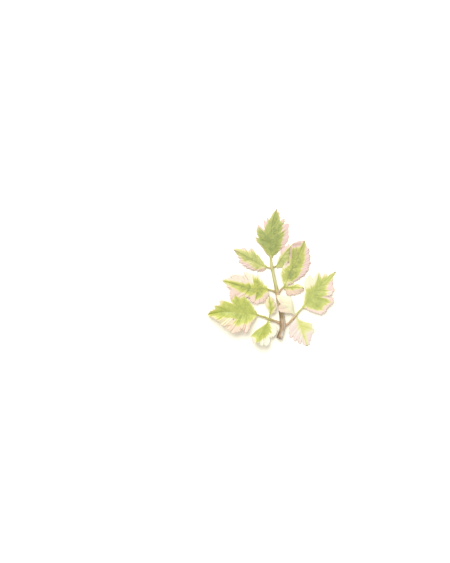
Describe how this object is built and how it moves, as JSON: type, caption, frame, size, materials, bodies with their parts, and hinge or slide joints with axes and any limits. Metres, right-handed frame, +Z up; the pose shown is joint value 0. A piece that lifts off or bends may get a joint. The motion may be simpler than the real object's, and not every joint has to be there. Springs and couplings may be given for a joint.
{
  "type": "parsley sprig",
  "caption": "Cut sprig of variegated leaf parsley lying flat: a round stem with opposite side stalks and toothed leaflets, green in the middle with cream and pink margins.",
  "frame": {"origin": "on the surface that the sprig lies on, below the middle of its outline seen from above", "axes": "+Z up out of the surface; +Y along the stem from the cut end to the terminal leaflet; +X to the right seen from above with the terminal leaflet away from the viewer"},
  "size_m": [0.0746, 0.0797, 0.0069],
  "materials": {
    "leaf_green": "satin",
    "leaf_cream": "satin",
    "stem_bark": "satin",
    "stalk_olive": "satin"
  },
  "bodies": {
    "root": {"main_stem": "stem_bark", "lower_left_stalk": "stalk_olive", "lower_right_stalk": "stalk_olive", "middle_left_stalk": "stalk_olive", "middle_right_stalk": "stalk_olive", "upper_left_stalk": "stalk_olive", "upper_right_stalk": "stalk_olive", "terminal_leaflet": "leaf_green", "upper_left_leaflet": "leaf_green", "upper_right_leaflet": "leaf_green", "middle_left_leaflet": "leaf_green", "middle_right_leaflet": "leaf_green", "middle_right_small_leaflet": "leaf_green", "lower_left_end_leaflet": "leaf_green", "lower_left_upper_leaflet": "leaf_green", "lower_left_base_leaflet": "leaf_cream", "lower_right_end_leaflet": "leaf_green", "lower_right_base_leaflet": "leaf_cream", "lower_right_inner_leaflet": "leaf_cream"}
  },
  "joints": []
}
